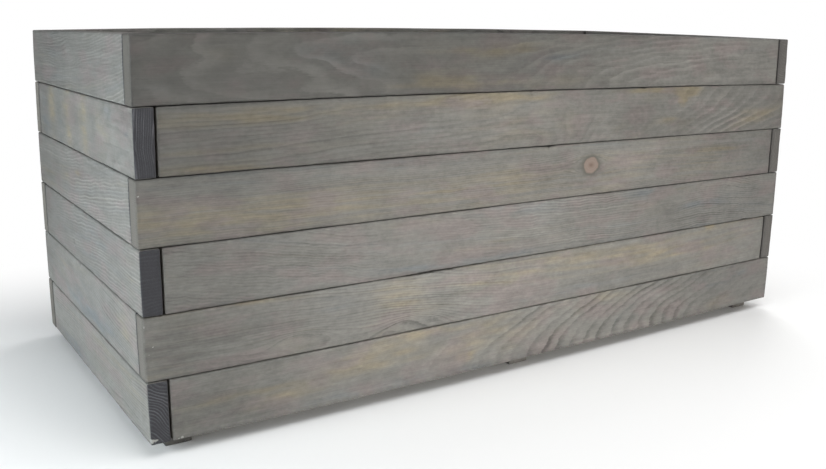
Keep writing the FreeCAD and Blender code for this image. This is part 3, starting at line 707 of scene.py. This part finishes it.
def stained_wood(t, ring, place, figure, tone, warmth):
    """The colour, roughness and height of grey-stained softwood, on the sides and sawn ends of a piece.

    ring counts the yearly rings from the heart, and place is metres along, into and up the grain.
    """
    noises = {}
    for name, (repeats, detail, rough) in NOISES.items():
        at = t.vector("ADD", place, ROSE_PLACE) if name == "rose" else place
        noises[name] = t.noise(at, repeats, detail, rough)
    wobble, line = ring_lines(t, ring, noises)
    light = t.sum(1.0, *(t.around(noises[name], amount) for name, amount in LIGHTNESS.items()),
                  t.product(line, figure, -RING_DARKNESS))
    colour = t.shade(stain_colour(t, ring, wobble, noises, warmth), t.product(light, tone))
    end = end_share(t)
    colour = t.mix(end, colour, sawn_end(t, line, tone, noises["pores"]))

    roughness = t.spread(t.sum(noises["brush"], t.product(line, 0.2)), 0.3, 0.9, *SIDE_ROUGHNESS)
    roughness = t.math("MAXIMUM", roughness, t.product(end, END_ROUGHNESS))
    parts = {"fibre": noises["fibre"], "brush": noises["brush"], "line": line,
             "pores": t.product(noises["pores"], end)}
    height = t.sum(*(t.product(parts[name], amount) for name, amount in HEIGHT.items()))
    return colour, roughness, height


def finish_wood(t, surface, colour, roughness, height):
    """Feeds the stained wood into its surface."""
    t.feed(surface.inputs["Base Color"], colour)
    t.feed(surface.inputs["Roughness"], roughness)
    surface.inputs["Specular IOR Level"].default_value = SHEEN
    t.feed(surface.inputs["Normal"], t.bump(height, RELIEF))


def grain_place(t):
    """Metres along, into and up the grain, each piece with its own place in the noise."""
    position = t.add("ShaderNodeTexCoord").outputs["Object"]
    parts = [t.vector("DOT_PRODUCT", position, t.attribute(name, True, True))
             for name in ("grain_along", "grain_depth", "grain_height")]
    shift = t.product(t.attribute("grain_seed", True), SEED_STEP)
    return t.vector("ADD", t.combine(*parts), t.combine(shift, shift, shift))


def end_share(t):
    """1 on the sawn ends of a piece, where its surface faces along the grain, and 0 on its sides."""
    facing = t.vector("DOT_PRODUCT", t.add("ShaderNodeNewGeometry").outputs["Normal"],
                      t.attribute("grain_along", True, True))
    return t.spread(t.math("ABSOLUTE", facing), 0.45, 0.78)


def new_material(name):
    material = bpy.data.materials.new(name)
    material.use_nodes = True
    tree = Tree(material.node_tree)
    return material, tree, material.node_tree.nodes["Principled BSDF"]


def board_material():
    """Grey-stained wall boards, whose rings, stain, knots and chips are attributes of the mesh."""
    material, t, surface = new_material("stained_boards")
    place = grain_place(t)
    # The tone attribute holds painted light and shade besides the stain's own lightness.
    tone = t.attribute("tone")
    colour, roughness, height = stained_wood(
        t, t.attribute("ring"), place, t.attribute("figure"), tone, t.attribute("warmth"))
    colour = knots(t, colour, place, tone)

    wear_and_seam_shade = t.spread(t.noise(place, (90, 120, 120)), 0.50, 0.70)
    on_edge = t.spread(wear_and_seam_shade, 0, 1, -0.16, 0.14, smooth=False)  # darker as painted shade in the seams, lighter where the stain has worn off
    colour = t.shade(colour, t.math("MULTIPLY_ADD", t.attribute("edge"), on_edge, 1.0))
    torn = t.sum(t.attribute("chip"), t.product(t.noise(place, (500, 500, 500)), 0.5))
    colour = t.mix(t.spread(torn, 0.86, 0.98), colour, BARE_CHIP)
    finish_wood(t, surface, colour, roughness, height)
    return material


def knots(t, colour, place, tone):
    """The wood's colour with its knots: a heart, ringed flesh, a ring of bark and a darker halo."""
    ragged = t.sum(t.attribute("knot"), t.around(t.noise(place, (110, 110, 110)), KNOT_RAGGED))
    rings = t.math("MULTIPLY_ADD", t.math("SINE", t.product(ragged, KNOT_RINGS)), 0.03, 0.98)
    flesh = t.mix(t.spread(ragged, 0.02, 0.5), KNOT_HEART, SALMON)
    halo = t.product(t.spread(ragged, 1.0, 1.2), t.spread(ragged, 1.9, 1.2))
    colour = t.shade(colour, t.math("SUBTRACT", 1.0, t.product(halo, HALO)))
    colour = t.mix(t.spread(ragged, 1.34, 1.0), colour, t.shade(BARK[:3], tone))
    return t.mix(t.spread(ragged, 1.04, 0.8), colour, t.shade(flesh, t.product(tone, rings)))


BATTEN_RING = 0.0034  # metres, the width of a yearly ring
BATTEN_SWAY = 3.0  # how far the rings of a batten sway, in rings
FOOT_FADE = (0.012, 0.020)  # heights in metres between which the painted shade on a foot fades into the post's own tone


def batten_material(name, tone, warmth, figure):
    """The same stain on posts, rails, ledgers and floor boards, with rings worked out from where they lie."""
    material, t, surface = new_material(name)
    position = t.add("ShaderNodeTexCoord").outputs["Object"]
    from_heart = t.vector("SUBTRACT", position, t.attribute("grain_heart", True, True))
    along = t.attribute("grain_along", True, True)
    distance_along = t.vector("DOT_PRODUCT", from_heart, along)
    run = t.vector("SCALE", along, scale=distance_along)
    lean = t.vector("SCALE", t.attribute("grain_lean", True, True), scale=distance_along)
    radial = t.vector("SUBTRACT", t.vector("SUBTRACT", from_heart, run), lean)
    place = grain_place(t)
    sway = t.around(t.noise(place, (6, 25, 25), 2), BATTEN_SWAY)
    ring = t.sum(t.product(t.vector("LENGTH", radial), 1 / BATTEN_RING), sway)
    height_above_ground = t.vector("DOT_PRODUCT", position, (0, 0, 1))
    # Painted shade under the box: the feet are darkened below the fade heights.
    shaded_foot = t.spread(height_above_ground, *FOOT_FADE, t.attribute("painted_foot_shade", True), 1.0)
    shade = t.product(t.sum(t.attribute("grain_tone", True), tone), shaded_foot)
    finish_wood(t, surface, *stained_wood(t, ring, place, figure, shade, warmth))
    return material


def screw_material():
    """Zinc plating: a faintly yellow, slightly mottled metal."""
    material, t, surface = new_material("zinc_screw")
    position = t.add("ShaderNodeTexCoord").outputs["Object"]
    mottle = t.noise(position, (900, 900, 900))
    cast = t.noise(position, (40, 40, 40), 2)
    colour = t.mix(t.spread(cast, 0.35, 0.65), GREY_ZINC, YELLOW_ZINC)
    t.feed(surface.inputs["Base Color"], t.shade(colour, t.spread(mottle, 0.2, 0.8, 0.8, 1.05)))
    surface.inputs["Metallic"].default_value = 1.0
    t.feed(surface.inputs["Roughness"], t.spread(mottle, 0.2, 0.8, 0.28, 0.5))
    t.feed(surface.inputs["Normal"], t.bump(mottle, 0.00004))
    return material


def give(piece, material):
    piece.data.materials.clear()
    piece.data.materials.append(material)


# ---- the planter ---------------------------------------------------------------------------------------

boards_look = board_material()
for side_number, side in enumerate(SIDES):
    for course in COURSES:
        board = board_object(f"{side}_board_{course}", 100 * side_number + 10 * course)
        give(board, boards_look)

frame_look = batten_material("frame_wood", tone=0.92, warmth=0.1, figure=0.7)
floor_look = batten_material("floor_wood", tone=0.96, warmth=0.15, figure=0.8)
BATTENS = {  # start of a node's name: axis along the grain, axis into it, material
    "post_": (Z, Y, frame_look),
    "cross_rail_": (Y, X, frame_look),
    "floor_ledger_": (X, Y, frame_look),
    "floor_board_": (Y, Z, floor_look),
}
# Painted shade on the feet under the box, as a factor on their tone, darkest on the near front foot.
PAINTED_FOOT_SHADES = {"post_front_left": 0.4, "post_front_middle": 0.85, "post_front_right": 0.9}
USUAL_PAINTED_FOOT_SHADE = 0.8


def lay_grain(name, node, axis_along, axis_depth, seed, draw):
    """Gives a batten the properties that its material reads: where its heart ran, its tones, and the painted
    shade on its foot.
    """
    low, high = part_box(name)
    heart, lean = Vector((low + high) / 2), Vector((0, 0, 0))
    heart[axis_depth] += draw.choice((-1, 1)) * draw.uniform(0.03, 0.07)
    heart[X + Y + Z - axis_along - axis_depth] += draw.uniform(-0.03, 0.03)
    lean[axis_depth] = draw.uniform(-0.10, 0.10)
    set_grain_axes(node, axis_along, axis_depth, seed)
    node["grain_heart"] = list(heart)
    node["grain_lean"] = list(lean)
    node["grain_tone"] = draw.uniform(-0.07, 0.05)
    node["dark_ends"] = 1.0
    node["end_rings"] = USUAL_END_RINGS
    node["painted_foot_shade"] = PAINTED_FOOT_SHADES.get(name, USUAL_PAINTED_FOOT_SHADE)


draw = random.Random(7)
screw_look = screw_material()
for number, (name, node) in enumerate(sorted(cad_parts.items())):
    for start, (axis_along, axis_depth, look) in BATTENS.items():
        if name.startswith(start):
            lay_grain(name, node, axis_along, axis_depth, 500 + 3 * number, draw)
            give(node, look)
    if name.endswith("_screws"):
        give(node, screw_look)

# ---- studio --------------------------------------------------------------------------------------------

FLOOR_REACH = 40.0  # metres from the middle to the edge of the floor
FADE = 0.42  # metres from the planter to where the floor is as white as the background
FLOOR_ROUGHNESS, FLOOR_SHEEN = 0.9, 0.1
WIDEST_SLOPE = 0.62  # of a ray, which is more than in the corners of the 826 x 469 picture


def studio_floor():
    """A large pale floor that fades into the white of the background and can't be seen from below."""
    mesh = bpy.data.meshes.new("studio_floor")
    corners = [(x * FLOOR_REACH, y * FLOOR_REACH, 0) for x, y in ((-1, -1), (1, -1), (1, 1), (-1, 1))]
    mesh.from_pydata(corners, [], [(0, 1, 2, 3)])
    floor = bpy.data.objects.new("studio_floor", mesh)
    bpy.context.scene.collection.objects.link(floor)
    material, t, surface = new_material("studio_floor")
    surface.inputs["Base Color"].default_value = FLOOR_WHITE
    surface.inputs["Roughness"].default_value = FLOOR_ROUGHNESS
    surface.inputs["Specular IOR Level"].default_value = FLOOR_SHEEN
    white = t.add("ShaderNodeEmission").outputs[0]
    position = t.add("ShaderNodeTexCoord").outputs["Object"]
    outside = t.vector("SUBTRACT", t.vector("ABSOLUTE", position), cad_bounds[1][:2] + [0.0])
    away = t.vector("LENGTH", t.vector("MAXIMUM", outside, (0, 0, 0)))
    rays = t.add("ShaderNodeLightPath").outputs
    fade = t.product(t.spread(away, 0.0, FADE), rays["Is Camera Ray"])
    faded = t.blend(fade, surface.outputs[0], white)
    from_below = t.add("ShaderNodeNewGeometry").outputs["Backfacing"]
    unseen = t.math("MAXIMUM", from_below, rays["Is Shadow Ray"])
    nothing = t.add("ShaderNodeBsdfTransparent").outputs[0]
    t.feed(material.node_tree.nodes["Material Output"].inputs["Surface"], t.blend(unseen, faded, nothing))
    mesh.materials.append(material)


def soft_light(name, place, target, size, power, colour=(1.0, 1.0, 1.0), glossy=True, spread=180):
    """A large lamp that looks at its target, with its length and width, and its beam's spread in degrees."""
    lamp = bpy.data.lights.new(name, "AREA")
    lamp.shape = "RECTANGLE"
    lamp.size, lamp.size_y = size
    lamp.energy, lamp.color, lamp.spread = power, colour, math.radians(spread)
    light = bpy.data.objects.new(name, lamp)
    light.location = place
    light.visible_glossy = glossy
    light.rotation_euler = (Vector(target) - Vector(place)).to_track_quat("-Z", "Y").to_euler()
    bpy.context.scene.collection.objects.link(light)


def studio_world(light):
    """A background that looks white and lights the planter, from above only, with a strength of its own."""
    world = bpy.data.worlds.new("studio")
    world.use_nodes = True
    t = Tree(world.node_tree)
    background = world.node_tree.nodes["Background"]
    background.inputs["Color"].default_value = (1.0, 1.0, 1.0, 1.0)
    seen = t.add("ShaderNodeLightPath").outputs["Is Camera Ray"]
    upwards = t.vector("DOT_PRODUCT", t.add("ShaderNodeTexCoord").outputs["Generated"], (0, 0, 1))
    sky = t.product(t.math("GREATER_THAN", upwards, 0.0), light)
    t.feed(background.inputs["Strength"], t.math("MAXIMUM", sky, seen))
    bpy.context.scene.world = world


def studio_camera(place, yaw, pitch, roll, lens, bend):
    """A camera turned yaw degrees from +Y towards +X, pitch degrees down, and roll degrees.

    Its lens bows straight lines outwards: a ray of slope x meets the sensor lens * (x + bend * x**3) from the
    middle.
    """
    yaw, pitch, roll = (math.radians(angle) for angle in (yaw, pitch, roll))
    forward = Vector((math.sin(yaw) * math.cos(pitch), math.cos(yaw) * math.cos(pitch), -math.sin(pitch)))
    right = forward.cross(Vector((0, 0, 1))).normalized()
    up = right.cross(forward)
    right, up = right * math.cos(roll) + up * math.sin(roll), up * math.cos(roll) - right * math.sin(roll)
    camera = bpy.data.objects.new("camera", bpy.data.cameras.new("camera"))
    data = camera.data
    data.lens, data.clip_start = lens, 0.01
    data.type, data.panorama_type = "PANO", "FISHEYE_LENS_POLYNOMIAL"
    data.fisheye_fov = math.pi
    slope = np.linspace(0, WIDEST_SLOPE, 400)
    out = lens * (slope + bend * slope**3)
    powers = np.stack([out, out**2, out**3, out**4], 1)
    fitted = np.linalg.lstsq(powers, np.arctan(slope), rcond=None)[0]
    data.fisheye_polynomial_k0 = 0.0
    for number, value in enumerate(fitted, 1):
        setattr(data, f"fisheye_polynomial_k{number}", -value)
    camera.matrix_world = Matrix.Translation(place) @ Matrix((right, up, -forward)).transposed().to_4x4()
    bpy.context.scene.collection.objects.link(camera)
    bpy.context.scene.camera = camera


bpy.context.scene.view_settings.view_transform = "Standard"
studio_world(light=0.26)
studio_floor()
soft_light("overhead_light", place=(0.15, -0.8, 2.0), target=(0.1, -0.5, 0), size=(1.5, 1.5), power=23)
soft_light("front_light", place=(0.1, -1.25, 0.2), target=(0.08, -0.2, 0.12), size=(0.5, 0.5), power=6.65,
           colour=(1.0, 0.96, 0.89))
soft_light("left_light", place=(-1.45, -0.34, 0.35), target=(-0.5, -0.15, 0.15), size=(0.6, 0.6), power=12.6,
           colour=(0.87, 0.96, 1.0))
soft_light("back_light", place=(1.6, 1.1, 0.9), target=(0.2, 0.1, 0.2), size=(1.2, 1.2), power=30,
           glossy=False)
soft_light("inside_light", place=(0, 0, 1.3), target=(0, 0, 0), size=(0.75, 0.3), power=0.75, glossy=False,
           spread=10)
soft_light("under_light", place=(0, 0, -1), target=(0, 0, 0), size=(0.9, 0.36), power=0.7, glossy=False,
           spread=8)
studio_camera(place=(-0.7492, -1.0756, 0.4385), yaw=33.61, pitch=13.17, roll=0.84, lens=40.23, bend=-0.1387)
